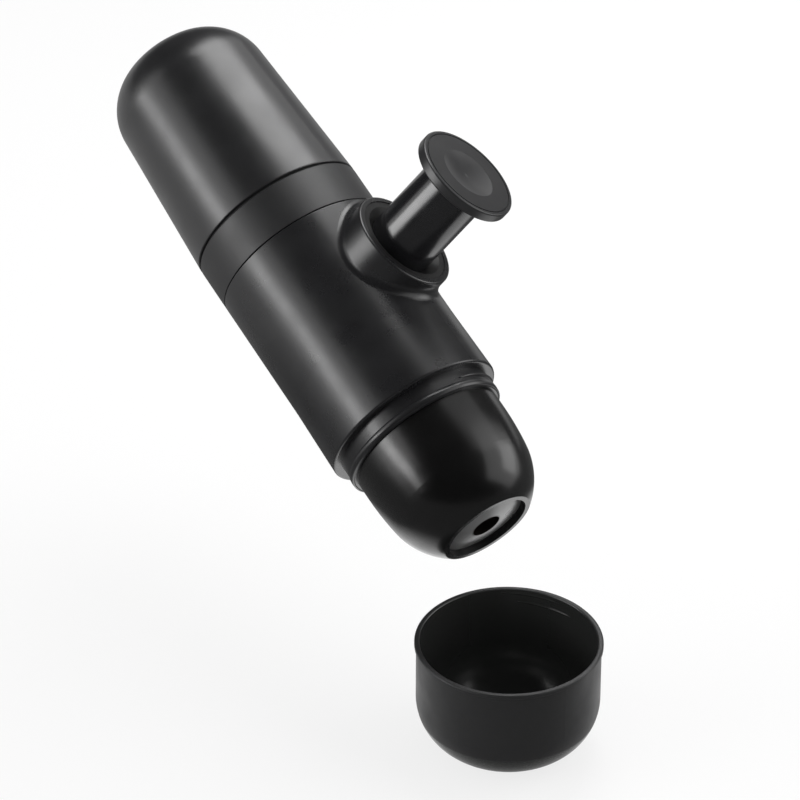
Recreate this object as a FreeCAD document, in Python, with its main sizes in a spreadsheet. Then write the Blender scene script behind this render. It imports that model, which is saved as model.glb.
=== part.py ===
import FreeCAD, Part
import math
import os
import re
from FreeCAD import Placement, Rotation, Vector
from Sketcher import Constraint

# Handheld manual espresso maker: a barrel with a side piston pump, a screw-on water tank,
# a screw-on outlet head with the coffee basket, and the cup standing on the table.
#
# The maker is drawn about its own axes: +Z runs up the barrel to the tank's end, +X runs out
# along the piston, and both cross at the origin. POSE then tilts it the way a hand holds it,
# nose down, over the cup.

os.makedirs("parts", exist_ok=True)
doc = FreeCAD.newDocument("HandPumpEspressoMaker")

# ---------------------------------------------------------------- driving dimensions (mm, deg)

SIZES = {
    # how the hand holds it
    "nose_dip": 27.0,
    "barrel_roll": 27.5,
    # clearances
    "seat_gap": 0.05,
    "running_gap": 0.08,
    "slide_gap": 0.3,
    "land_gap": 0.1,
    "screw_gap": 0.15,
    "overcut": 1.0,
    # barrel, or main body
    "barrel_radius": 30.0,
    "barrel_wall": 2.8,
    "barrel_top": 21.8,
    "barrel_drop": 46.9,
    "barrel_flare": 0.5,
    "barrel_rim_round": 0.8,
    "seam_round": 0.25,
    "seam_gap": 0.2,
    "neck_step": 2.5,
    "neck_length": 7.3,
    "neck_chamfer": 0.5,
    "neck_wall": 2.2,
    # side boss
    "boss_radius": 18.4,
    "boss_reach": 5.1,
    "boss_fillet": 3.1,
    "boss_edge_round": 0.7,
    "boss_rim_width": 2.0,
    "boss_rim_lip": 0.3,
    # guide ring in the boss
    "guide_cover": 3.8,
    "guide_flange": 4.8,
    "guide_wall": 2.5,
    "guide_length": 17.0,
    "guide_face_width": 2.2,
    "guide_recess": 2.0,
    "wiper_wire": 0.8,
    # deck under the water
    "deck_floor": 14.5,
    "deck_thickness": 3.0,
    "ledge_width": 0.6,
    "seal_notch": 1.7,
    "seal_wire": 0.75,
    "air_valve_reach": 17.0,
    "air_stem_radius": 2.0,
    "air_bore": 0.6,
    "air_flange_radius": 3.6,
    "air_flange_thickness": 0.8,
    "air_bill_height": 5.0,
    "strainer_radius": 3.2,
    "strainer_height": 2.6,
    "strainer_wall": 0.6,
    "strainer_slot": 0.8,
    # collar between barrel and tank
    "collar_top": 37.1,
    "collar_wall": 3.75,
    "collar_thread": 9.0,
    "collar_chamfer": 0.8,
    "tank_seal_height": 0.8,
    "tank_seal_inset": 0.8,
    # water tank
    "tank_end": 109.4,
    "tank_taper": 3.2,
    "tank_corner": 19.0,
    "tank_wall": 2.5,
    "tank_mouth_wall": 2.7,
    "tank_lip_round": 0.5,
    # valve block
    "block_floor": 20.0,
    "block_disc": 4.5,
    "block_notch": 1.2,
    "block_screw_inset": 3.2,
    "block_screw_start": 45.0,
    "tower_width": 18.0,
    "tower_margin": 2.0,
    "valve_bore": 3.0,
    "valve_wall": 1.65,
    "ball_radius": 2.4,
    "port_radius": 1.5,
    "cross_port_radius": 1.2,
    "inlet_cavity_floor": 1.5,
    "inlet_seat_length": 6.0,
    "outlet_cavity_roof": 4.0,
    "outlet_plug_length": 8.0,
    "plug_bore": 1.2,
    "valve_spring_wire": 0.25,
    "valve_spring_radius": 1.7,
    "valve_spring_turns": 3,
    # pump
    "bore_radius": 6.0,
    "pump_wall": 2.4,
    "pump_end_wall": 2.0,
    "spring_room": 6.7,
    "spring_wire": 0.5,
    "spring_radius": 4.8,
    "spring_turns": 6,
    "piston_length": 6.0,
    "piston_groove": 1.7,
    "rod_radius": 2.0,
    "rod_bite": 4.0,
    "nipple_radius": 2.5,
    "nipple_length": 2.0,
    "thin_seal_wire": 0.55,
    "flange_thickness": 2.2,
    "flange_width": 18.8,
    "flange_height": 23.2,
    "flange_screw_y": 6.9,
    "flange_screw_z": 9.0,
    "gland_length": 3.0,
    "gland_rim": 1.2,
    # bayonet lock between pump and sleeve
    "lug_angle": 28.0,
    "lug_length": 4.0,
    "lug_height": 1.5,
    "lug_side_angle": 3.0,
    "lock_turn": 60.0,
    "lock_play": 0.5,
    # piston sleeve and knob
    "sleeve_radius": 11.3,
    "knob_radius": 17.9,
    "knob_thickness": 3.5,
    "knob_round": 0.6,
    "knob_rim_width": 1.3,
    "knob_groove": 0.4,
    "knob_clearance": 1.5,
    "knob_hub": 4.6,
    "knob_socket": 5.5,
    "dimple_radius": 9.8,
    "dimple_depth": 1.3,
    "rod_head_radius": 3.5,
    "retainer_thickness": 1.4,
    # brewing side
    "gasket_face": 28.0,
    "gasket_thickness": 2.2,
    "throat_step": 3.0,
    "screen_thickness": 0.8,
    "screen_drop": 6.8,
    "screen_post": 4.0,
    "screen_blank_edge": 2.3,
    "basket_flange": 0.8,
    "basket_room": 1.5,
    "basket_depth": 19.0,
    "basket_wall": 0.6,
    "basket_corner": 2.0,
    "basket_hole": 0.55,
    "basket_blank_edge": 5.0,
    # outlet head
    "head_step": 1.2,
    "head_shoulder": 5.8,
    "head_side_radius": 102.0,
    "head_side_angle": 8.2,
    "head_dome_radius": 25.3,
    "head_wall": 2.6,
    "spigot_wall": 3.5,
    "head_floor_thickness": 2.3,
    "lip_radius": 16.0,
    "lip_width": 1.7,
    "face_recess": 2.5,
    "nozzle_thickness": 2.2,
    "nozzle_ledge": 1.8,
    "nozzle_bore": 4.9,
    "nozzle_dome_radius": 55.0,
    "nozzle_tube": 7.5,
    "nozzle_rise": 6.0,
    "crema_valve_thickness": 1.2,
    # screws
    "screw_radius": 1.25,
    "screw_head_radius": 2.4,
    "screw_head_height": 1.8,
    "screw_bite": 6.0,
    "small_screw_radius": 0.95,
    "small_head_radius": 1.9,
    "small_head_height": 1.2,
    "small_screw_bite": 5.0,
    # cup
    "cup_ahead": 18.2,
    "cup_aside": -4.8,
    "cup_below": 31.5,
    "cup_height": 39.3,
    "cup_thread_room": 1.0,
    "cup_wall": 1.2,
    "cup_bead_proud": 0.6,
    "cup_bead_height": 1.3,
    "cup_bead_round": 0.55,
    "cup_base_radius": 11.5,
}

# what follows from them
DERIVED = {
    # barrel levels, measured up the barrel from the piston's axis
    "rim_z": "-barrel_drop",
    "neck_z": "-(barrel_drop + neck_length)",
    "deck_top": "deck_floor + deck_thickness",
    "block_z": "-block_floor",
    "block_top": "block_z + block_disc",
    "gasket_z": "-gasket_face",
    "barrel_bore": "barrel_radius - barrel_wall",
    "socket_radius": "barrel_bore + ledge_width",
    "rim_radius": "barrel_radius + barrel_flare",
    "flare_z": "-(boss_radius + boss_fillet + overcut)",
    "neck_radius": "barrel_radius - neck_step",
    "head_bore": "neck_radius - neck_wall",
    "throat_radius": "head_bore - throat_step",
    "collar_bore": "socket_radius - seat_gap - collar_wall",
    "tank_base": "collar_top + tank_seal_height",
    # valve block and its tower
    "block_radius": "barrel_bore - land_gap",
    "block_screw_circle": "barrel_bore - block_screw_inset",
    "tower_back": "barrel_bore - tower_margin",
    "tower_depth": "2 * (valve_bore + valve_wall)",
    "valve_x": "-(tower_back - tower_depth / 2)",
    "tower_face": "-(tower_back - tower_depth)",
    "ball_seat": "sqrt(ball_radius * ball_radius - port_radius * port_radius) + seat_gap",
    "inlet_seat_z": "deck_floor - inlet_seat_length",
    "inlet_ball_z": "inlet_seat_z - ball_seat",
    "outlet_ball_z": "-outlet_cavity_roof - ball_seat",
    "outlet_plug_z": "block_z + outlet_plug_length",
    # pump, measured out along the piston: its stroke is the room left between floor and gland
    "boss_front": "barrel_radius + boss_reach",
    "pump_radius": "bore_radius + pump_wall",
    "pump_floor": "tower_face + pump_end_wall",
    "foot_face": "tower_face + flange_thickness",
    "pump_tip": "boss_front - guide_cover",
    "pump_front": "pump_tip - gland_rim",
    "gland_x": "pump_front - gland_length",
    "stroke": "gland_x - slide_gap - piston_length - spring_room - pump_floor",
    "lug_x": "pump_front - lug_length",
    "piston_front": "gland_x - slide_gap",
    "piston_back": "piston_front - piston_length",
    "seal_x": "piston_back + piston_length / 2",
    "piston_radius": "bore_radius - slide_gap",
    "piston_seal_radius": "bore_radius - running_gap - seal_wire",
    "piston_groove_radius": "piston_seal_radius - seal_wire - seat_gap",
    "sleeve_bore": "pump_radius + slide_gap + seat_gap",
    "slot_radius": "pump_radius + lug_height + slide_gap + seat_gap",
    "sleeve_start": "foot_face + lock_play + stroke",
    "knob_back": "boss_front + stroke + knob_clearance",
    "knob_front": "knob_back + knob_thickness",
    "knob_face_radius": "knob_radius - knob_rim_width",
    "hub_x": "knob_back - knob_hub",
    "hub_radius": "sleeve_bore - seat_gap",
    "socket_x": "hub_x + knob_socket",
    "knob_socket_radius": "rod_head_radius + slide_gap",
    "rod_head_x": "hub_x + retainer_thickness + slide_gap",
    "rod_head_end": "socket_x - slide_gap",
    "dimple_sphere": "(dimple_radius * dimple_radius / dimple_depth + dimple_depth) / 2",
    # guide ring
    "guide_bore": "sleeve_radius + running_gap",
    "guide_radius": "guide_bore + guide_wall",
    "boss_bore": "guide_radius + slide_gap",
    "boss_mouth": "boss_radius - boss_rim_width",
    "guide_front": "boss_front - boss_rim_lip",
    "guide_back": "guide_front - guide_flange",
    "recess_radius": "boss_mouth - guide_face_width",
    "recess_x": "guide_front - guide_recess",
    "wiper_x": "(guide_back + recess_x) / 2",
    "wiper_radius": "guide_bore + wiper_wire",
    # tank, whose corner arc is tangent to the tapered side and to the flat end
    "corner_z": "tank_end - tank_corner",
    "taper_rise": "corner_z - tank_base",
    "end_radius": "barrel_radius - (tank_corner + taper_rise * sin(tank_taper)) / cos(tank_taper)",
    "corner_start_r": "end_radius + tank_corner * cos(tank_taper)",
    "corner_start_z": "corner_z + tank_corner * sin(tank_taper)",
    "inner_corner": "tank_corner - tank_wall",
    "inner_start_r": "end_radius + inner_corner * cos(tank_taper)",
    "inner_start_z": "corner_z + inner_corner * sin(tank_taper)",
    "mouth_radius": "barrel_radius - tank_mouth_wall",
    "mouth_top": "collar_top + collar_thread + overcut",
    "mouth_shell_r": "inner_start_r + (inner_start_z - mouth_top) * tan(tank_taper)",
    "thread_radius": "mouth_radius - slide_gap",
    # brewing side
    "gasket_low": "gasket_z - gasket_thickness",
    "basket_top": "gasket_low - basket_flange",
    "basket_floor": "basket_top - basket_depth",
    "spigot_radius": "head_bore - slide_gap",
    "head_spigot_bore": "spigot_radius - spigot_wall",
    "basket_radius": "head_spigot_bore - basket_room",
    "screen_z": "block_z - screen_drop",
    # outlet head: a gently bowed side, then a dome, both tangent where they meet
    "head_radius": "neck_radius - head_step",
    "head_z": "neck_z - head_shoulder",
    "bow_r": "head_radius - head_side_radius * (1 - cos(head_side_angle))",
    "bow_z": "head_z - head_side_radius * sin(head_side_angle)",
    "dome_r": "bow_r - head_dome_radius * cos(head_side_angle)",
    "dome_z": "bow_z + head_dome_radius * sin(head_side_angle)",
    "dome_inner": "head_dome_radius - head_wall",
    "lip_reach": "lip_radius - dome_r",
    "lip_z": "dome_z - sqrt(head_dome_radius * head_dome_radius - lip_reach * lip_reach)",
    "face_z": "lip_z + face_recess",
    "ledge_z": "face_z + nozzle_thickness",
    "head_floor": "ledge_z + head_floor_thickness",
    "face_radius": "lip_radius - lip_width",
    "ledge_radius": "face_radius - nozzle_ledge",
    "floor_reach": "dome_z - head_floor",
    "floor_radius": "dome_r + sqrt(dome_inner * dome_inner - floor_reach * floor_reach)",
    "inner_side_r": "bow_r - head_wall * cos(head_side_angle)",
    "inner_side_z": "bow_z + head_wall * sin(head_side_angle)",
    "nozzle_top": "ledge_z + nozzle_rise",
    "nozzle_rim": "face_radius - seat_gap",
    "nozzle_dome_z": "face_z + sqrt(nozzle_dome_radius * nozzle_dome_radius"
                     " - nozzle_rim * nozzle_rim)",
    "nozzle_low": "nozzle_dome_z - sqrt(nozzle_dome_radius * nozzle_dome_radius"
                  " - nozzle_bore * nozzle_bore)",
    # cup, drawn up from the table
    "cup_inner": "neck_radius + cup_thread_room",
    "cup_radius": "cup_inner + cup_wall",
    "cup_bead_radius": "cup_radius + cup_bead_proud",
    "cup_corner": "cup_radius - cup_base_radius",
    "cup_inner_corner": "cup_corner - cup_wall",
    "cup_bead_z": "cup_height - cup_bead_height",
}

FUNCTIONS = ("sin", "cos", "tan", "sqrt")


def linked(text):
    """Turn bare size names in an expression into references to the two sheets."""
    def reference(match):
        word = match.group(0)
        if word in FUNCTIONS:
            return word
        return ("Sizes." if word in SIZES else "Derived.") + word
    return re.sub(r"[A-Za-z_][A-Za-z_0-9]*", reference, text)


def fill_sheet(name, rows, as_formula):
    sheet = doc.addObject("Spreadsheet::Sheet", name)
    for row, (alias, content) in enumerate(rows.items(), start=1):
        sheet.set(f"A{row}", alias)
        sheet.set(f"B{row}", "=" + linked(content) if as_formula else str(content))
        sheet.setAlias(f"B{row}", alias)
    doc.recompute()
    return sheet


sizes = fill_sheet("Sizes", SIZES, as_formula=False)
fill_sheet("Derived", DERIVED, as_formula=True)


def size(text):
    return float(sizes.evalExpression(linked(text)))


# ------------------------------------------------------------------------ placing the pieces

POSE = Placement(Vector(), Rotation(Vector(0, 1, 0), size("nose_dip") - 90)
                 * Rotation(Vector(0, 0, 1), size("barrel_roll")))
ALONG_Z = Rotation()
ALONG_X = Rotation(Vector(0, 1, 0), 90)
UPSIDE_DOWN = Rotation(Vector(1, 0, 0), 180)
DIP = math.radians(size("nose_dip"))
OUTLET = Vector(math.cos(DIP), 0, -math.sin(DIP)) * -size("lip_z")
CUP_PLACE = Placement(
    OUTLET + Vector(size("cup_ahead"), size("cup_aside"), -size("cup_below + cup_height")),
    Rotation())

# --------------------------------------------------------- counts and places that pieces share

TOUCHING = 0.01
BLOCK_SCREWS = 4
BLOCK_SCREW = ("block_screw_circle * cos(block_screw_start)",
               "block_screw_circle * sin(block_screw_start)")
FLANGE_CORNERS = [(across, up) for across in ("flange_screw_y", "-flange_screw_y")
                  for up in ("flange_screw_z", "-flange_screw_z")]
BAYONET_LUGS = 2
STRAINER_SLOTS = 6
HOLES_IN_FIRST_RING = 6
BASKET_RINGS = (1, 2, 3)
SCREEN_RINGS = (2, 3, 4)

nodes = []


def at(x="0", y="0", z="0", turn=ALONG_Z):
    """A place on the maker, in its own axes, carried into the held pose."""
    return POSE * Placement(Vector(size(x), size(y), size(z)), turn)


def keep(piece, place):
    piece.Placement = place
    nodes.append(piece)
    return piece


# --------------------------------------------------------------------- sketches and features

def bind(piece, property_name, text):
    piece.setExpression(property_name, linked(text))


def new_body(label):
    body = doc.addObject("PartDesign::Body", label)
    body.Label = label
    return body


def new_sketch(body, plane, name, offset="0"):
    sketch = body.newObject("Sketcher::SketchObject", name)
    support = [item for item in body.Origin.OriginFeatures if item.Role == plane][0]
    sketch.AttachmentSupport = (support, "")
    sketch.MapMode = "FlatFace"
    bind(sketch, "AttachmentOffset.Base.z", offset)
    return sketch


def pin_point(sketch, geometry, point, across, up):
    """Fix a point of the sketch at two size expressions."""
    for kind, axis, text in (("DistanceX", -2, across), ("DistanceY", -1, up)):
        if text == "0":
            sketch.addConstraint(Constraint("PointOnObject", geometry, point, axis))
        else:
            index = sketch.addConstraint(Constraint(kind, -1, 1, geometry, point, size(text)))
            sketch.setExpression(f"Constraints[{index}]", linked(text))


def draw_outline(sketch, outline):
    """Draw a closed outline. A point is (across, up), or (across, up, radius, side) where the
    stretch that ends at it is an arc, with its centre to the left (1) or right (-1)."""
    count = len(outline)
    first = sketch.GeometryCount
    points = [Vector(size(item[0]), size(item[1]), 0) for item in outline]
    for index in range(count):
        start = points[index]
        end = points[(index + 1) % count]
        arc = outline[(index + 1) % count][2:]
        if arc:
            radius = size(arc[0])
            chord = end - start
            square = max(radius ** 2 - (chord.Length / 2) ** 2, 0)
            sideways = Vector(-chord.y, chord.x, 0).normalize() * arc[1]
            centre = (start + end) * 0.5 + sideways * math.sqrt(square)
            middle = centre - sideways * radius
            sketch.addGeometry(Part.Arc(start, middle, end), False)
        else:
            sketch.addGeometry(Part.LineSegment(start, end), False)
    for index in range(count):
        here = first + index
        after = first + (index + 1) % count
        arc = outline[(index + 1) % count][2:]
        here_end = end_points(sketch, here, points[index])[1]
        after_start = end_points(sketch, after, points[(index + 1) % count])[0]
        sketch.addConstraint(Constraint("Coincident", here, here_end, after, after_start))
        if arc:
            radius = sketch.addConstraint(Constraint("Radius", here, size(arc[0])))
            sketch.setExpression(f"Constraints[{radius}]", linked(arc[0]))
    for index in range(count):
        here = first + index
        here_start = end_points(sketch, here, points[index])[0]
        pin_point(sketch, here, here_start, outline[index][0], outline[index][1])


def end_points(sketch, geometry, start):
    """The point numbers of a stretch's start and end, in the order of the outline."""
    if sketch.getPoint(geometry, 1).distanceToPoint(start) < TOUCHING:
        return 1, 2
    return 2, 1


def draw_circle(sketch, across, up, radius):
    index = sketch.addGeometry(
        Part.Circle(Vector(size(across), size(up), 0), Vector(0, 0, 1), size(radius)), False)
    pin_point(sketch, index, 3, across, up)
    constraint = sketch.addConstraint(Constraint("Radius", index, size(radius)))
    sketch.setExpression(f"Constraints[{constraint}]", linked(radius))


def draw_sector(sketch, inner, outer, low_angle, high_angle):
    """A ring sector about the sketch's origin, drawn for cutting or adding curved lugs."""
    corners = []
    for radius, angle in ((inner, low_angle), (outer, low_angle),
                          (outer, high_angle), (inner, high_angle)):
        corners.append((f"({radius}) * cos({angle})", f"({radius}) * sin({angle})"))
    draw_outline(sketch, [
        corners[0] + (inner, -1),
        corners[1],
        corners[2] + (outer, 1),
        corners[3],
    ])


def check_volume(feature, before, adds):
    """A feature that points the wrong way changes nothing, so its volume is compared."""
    doc.recompute()
    change = feature.Shape.Volume - before
    if (change <= 0) if adds else (change >= 0):
        raise RuntimeError(f"{feature.Label} does not change its body")


def finish_feature(body, feature, before, adds):
    body.Tip = feature
    check_volume(feature, before, adds)
    return feature


def volume_of(body):
    doc.recompute()
    return body.Shape.Volume if body.Tip and not body.Shape.isNull() else 0.0


def turn_outline(body, outline, about_x=False, cut=False):
    """Revolve an outline about the body's Z axis, or about its X axis, to add or cut."""
    before = volume_of(body)
    kind = "Groove" if cut else "Revolution"
    sketch = new_sketch(body, "XZ_Plane", f"{body.Label}_{kind.lower()}_outline")
    draw_outline(sketch, outline)
    feature = body.newObject(f"PartDesign::{kind}", f"{body.Label}_{kind.lower()}")
    feature.Profile = sketch
    feature.ReferenceAxis = (sketch, ["H_Axis" if about_x else "V_Axis"])
    feature.Angle = 360
    return finish_feature(body, feature, before, adds=not cut)


def extrude(body, sketch, length, cut=False, forward=True):
    """Pad or pocket a sketch by a length, along the plane's normal or against it."""
    before = volume_of(body)
    kind = "Pocket" if cut else "Pad"
    feature = body.newObject(f"PartDesign::{kind}", f"{sketch.Label}_{kind.lower()}")
    feature.Profile = sketch
    bind(feature, "Length", length)
    feature.Reversed = forward if cut else not forward
    return finish_feature(body, feature, before, adds=not cut)


def repeat_round(body, features, axis, count, adds):
    before = volume_of(body)
    pattern = body.newObject("PartDesign::PolarPattern", f"{features[0].Label}_pattern")
    pattern.Originals = features
    support = [item for item in body.Origin.OriginFeatures if item.Role == axis][0]
    pattern.Axis = (support, [""])
    pattern.Angle = 360
    pattern.Occurrences = count
    return finish_feature(body, pattern, before, adds)


def round_edges(body, radius, chosen, name):
    """Fillet the edges of the body's tip that the test picks."""
    tip = body.Tip
    doc.recompute()
    names = [f"Edge{number}" for number, edge in enumerate(tip.Shape.Edges, start=1)
             if chosen(edge)]
    if not names:
        raise RuntimeError(f"{name} finds no edge")
    fillet = body.newObject("PartDesign::Fillet", name)
    fillet.Base = (tip, names)
    bind(fillet, "Radius", radius)
    body.Tip = fillet
    doc.recompute()
    return fillet


def turned_piece(label, outline, about_x=False, place=POSE):
    """A sub-part that is one revolved outline."""
    body = new_body(label)
    turn_outline(body, outline, about_x)
    return keep(body, place)


def o_ring(label, radius, wire, place):
    ring = doc.addObject("Part::Torus", label)
    ring.Label = label
    bind(ring, "Radius1", radius)
    bind(ring, "Radius2", wire)
    return keep(ring, place)


def coil_spring(label, radius, wire, length, turns, place):
    """A round-wire spring swept along a helix, with its end coils inside its length."""
    helix = doc.addObject("Part::Helix", label + "_path")
    bind(helix, "Radius", radius)
    bind(helix, "Height", f"{length} - 2 * {wire}")
    bind(helix, "Pitch", f"({length} - 2 * {wire}) / {turns}")
    section = doc.addObject("Part::Circle", label + "_wire")
    bind(section, "Radius", wire)
    section.Placement = Placement(Vector(size(radius), 0, 0), Rotation(Vector(1, 0, 0), 90))
    doc.recompute()
    spring = doc.addObject("Part::Sweep", label)
    spring.Label = label
    spring.Sections = [section]
    spring.Spine = (helix, [f"Edge{n}" for n in range(1, len(helix.Shape.Edges) + 1)])
    spring.Solid = True
    spring.Frenet = True
    return keep(spring, place * Placement(Vector(0, 0, size(wire)), Rotation()))


def screw(name, shank_radius, head_radius, head_height, shank_length):
    """One screw along Z: its head stands on the seat at zero, its shank goes down."""
    head = doc.addObject("Part::Cylinder", name + "_head")
    bind(head, "Radius", head_radius)
    bind(head, "Height", head_height)
    shank = doc.addObject("Part::Cylinder", name + "_shank")
    bind(shank, "Radius", shank_radius)
    bind(shank, "Height", shank_length)
    shank.Placement = Placement(Vector(0, 0, -size(shank_length)), Rotation())
    whole = doc.addObject("Part::Fuse", name)
    whole.Base = head
    whole.Tool = shank
    return whole


def screw_set(label, places, *screw_sizes):
    """Identical screws, each a separate solid, kept as one sub-part."""
    group = doc.addObject("Part::Compound", label)
    group.Label = label
    links = []
    for number, place in enumerate(places, start=1):
        single = screw(f"{label}_{number}", *screw_sizes)
        single.Placement = place
        links.append(single)
    group.Links = links
    return keep(group, POSE)


# ================================================================================ barrel

def make_main_body():
    """T-shaped moulding: barrel, threaded neck and the side boss that carries the pump."""
    body = new_body("main_body")
    turn_outline(body, [
        ("0", "barrel_top"),
        ("barrel_radius - seam_round", "barrel_top"),
        ("barrel_radius", "barrel_top - seam_round", "seam_round", -1),
        ("barrel_radius", "flare_z"),
        ("rim_radius", "rim_z + barrel_rim_round"),
        ("rim_radius - barrel_rim_round", "rim_z", "barrel_rim_round", -1),
        ("neck_radius", "rim_z"),
        ("neck_radius", "neck_z + neck_chamfer"),
        ("neck_radius - neck_chamfer", "neck_z"),
        ("0", "neck_z"),
    ])
    boss = new_sketch(body, "YZ_Plane", "boss_outline")
    draw_circle(boss, "0", "0", "boss_radius")
    extrude(body, boss, "boss_front")

    boss_radius = size("boss_radius")
    barrel_radius = size("barrel_radius")
    boss_front = size("boss_front")

    def meets_barrel(edge):
        return all(abs(math.hypot(v.Y, v.Z) - boss_radius) < TOUCHING
                   and abs(math.hypot(v.X, v.Y) - barrel_radius) < TOUCHING
                   for v in edge.Vertexes)

    def front_rim(edge):
        return all(abs(v.X - boss_front) < TOUCHING for v in edge.Vertexes)

    round_edges(body, "boss_fillet", meets_barrel, "boss_root_fillet")
    round_edges(body, "boss_edge_round", front_rim, "boss_edge_fillet")
    turn_outline(body, [
        ("0", "barrel_top + overcut"),
        ("socket_radius", "barrel_top + overcut"),
        ("socket_radius", "deck_floor"),
        ("barrel_bore", "deck_floor"),
        ("barrel_bore", "block_z"),
        ("throat_radius", "block_z"),
        ("throat_radius", "gasket_z"),
        ("head_bore", "gasket_z"),
        ("head_bore", "neck_z - overcut"),
        ("0", "neck_z - overcut"),
    ], cut=True)
    turn_outline(body, [
        ("0", "0"),
        ("0", "boss_bore"),
        ("guide_back", "boss_bore"),
        ("guide_back", "boss_mouth"),
        ("boss_front + overcut", "boss_mouth"),
        ("boss_front + overcut", "0"),
    ], about_x=True, cut=True)
    hole = new_sketch(body, "XY_Plane", "block_screw_hole", "block_z")
    draw_circle(hole, *BLOCK_SCREW, "screw_radius + seat_gap")
    first = extrude(body, hole, "screw_bite + overcut", cut=True, forward=False)
    repeat_round(body, [first], "Z_Axis", BLOCK_SCREWS, adds=False)
    return keep(body, POSE)


def make_guide_ring():
    """Turned bearing for the piston sleeve: a funnel mouth, and a groove for the wiper."""
    return turned_piece("guide_ring", [
        ("guide_front - guide_length", "guide_bore"),
        ("guide_front - guide_length", "guide_radius"),
        ("guide_back", "guide_radius"),
        ("guide_back", "boss_mouth - seat_gap"),
        ("guide_front", "boss_mouth - seat_gap"),
        ("guide_front", "recess_radius"),
        ("recess_x", "guide_bore"),
        ("wiper_x + wiper_wire + seat_gap", "guide_bore"),
        ("wiper_x + wiper_wire + seat_gap", "wiper_radius + wiper_wire + seat_gap"),
        ("wiper_x - wiper_wire - seat_gap", "wiper_radius + wiper_wire + seat_gap"),
        ("wiper_x - wiper_wire - seat_gap", "guide_bore"),
    ], about_x=True)


# ================================================================== water side of the barrel

def make_collar():
    """Band above the barrel: it clamps the deck below and carries the tank's thread above."""
    return turned_piece("tank_collar", [
        ("collar_bore", "deck_top"),
        ("socket_radius - seat_gap", "deck_top"),
        ("socket_radius - seat_gap", "barrel_top + seam_gap"),
        ("barrel_radius - seam_round", "barrel_top + seam_gap"),
        ("barrel_radius", "barrel_top + seam_gap + seam_round", "seam_round", 1),
        ("barrel_radius", "collar_top - seam_round"),
        ("barrel_radius - seam_round", "collar_top", "seam_round", 1),
        ("thread_radius", "collar_top"),
        ("thread_radius", "collar_top + collar_thread - collar_chamfer"),
        ("thread_radius - collar_chamfer", "collar_top + collar_thread"),
        ("collar_bore", "collar_top + collar_thread"),
    ])


def make_deck():
    """Floor of the water space, with the intake port, the air valve's hole and a seal notch."""
    body = new_body("intake_deck")
    turn_outline(body, [
        ("0", "deck_floor"),
        ("socket_radius - seat_gap", "deck_floor"),
        ("socket_radius - seat_gap", "deck_top - seal_notch"),
        ("socket_radius - seat_gap - seal_notch", "deck_top - seal_notch"),
        ("socket_radius - seat_gap - seal_notch", "deck_top"),
        ("0", "deck_top"),
    ])
    holes = new_sketch(body, "XY_Plane", "deck_holes", "deck_floor - overcut")
    draw_circle(holes, "valve_x", "0", "port_radius")
    draw_circle(holes, "0", "air_valve_reach", "air_stem_radius + seat_gap")
    extrude(body, holes, "deck_thickness + 2 * overcut", cut=True)
    return keep(body, POSE)


def make_strainer():
    """Slotted cap over the intake port that keeps grounds and scale out of the valves."""
    body = new_body("intake_strainer")
    turn_outline(body, [
        ("strainer_radius - strainer_wall", "0"),
        ("strainer_radius", "0"),
        ("strainer_radius", "strainer_height"),
        ("0", "strainer_height"),
        ("0", "strainer_height - strainer_wall"),
        ("strainer_radius - strainer_wall", "strainer_height - strainer_wall"),
    ])
    slot = new_sketch(body, "YZ_Plane", "strainer_slot_outline")
    draw_outline(slot, [
        ("-strainer_slot / 2", "strainer_wall"),
        ("strainer_slot / 2", "strainer_wall"),
        ("strainer_slot / 2", "strainer_height - strainer_wall"),
        ("-strainer_slot / 2", "strainer_height - strainer_wall"),
    ])
    first = extrude(body, slot, "strainer_radius + overcut", cut=True)
    repeat_round(body, [first], "Z_Axis", STRAINER_SLOTS, adds=False)
    return keep(body, at("valve_x", "0", "deck_top"))


def make_air_valve():
    """Rubber duckbill through the deck: it lets air up into the tank as water leaves."""
    return turned_piece("air_valve", [
        ("air_bore", "-deck_thickness - 2 * air_flange_thickness"),
        ("air_stem_radius", "-deck_thickness - 2 * air_flange_thickness"),
        ("air_stem_radius + strainer_wall", "-deck_thickness - seat_gap"),
        ("air_stem_radius", "-deck_thickness - seat_gap"),
        ("air_stem_radius", "0"),
        ("air_flange_radius", "0"),
        ("air_flange_radius", "air_flange_thickness"),
        ("air_stem_radius", "air_flange_thickness"),
        ("air_bore + strainer_wall", "air_bill_height"),
        ("air_bore", "air_bill_height"),
    ], place=at("0", "air_valve_reach", "deck_top"))


# ============================================================ valve block, screws and valves

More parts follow.
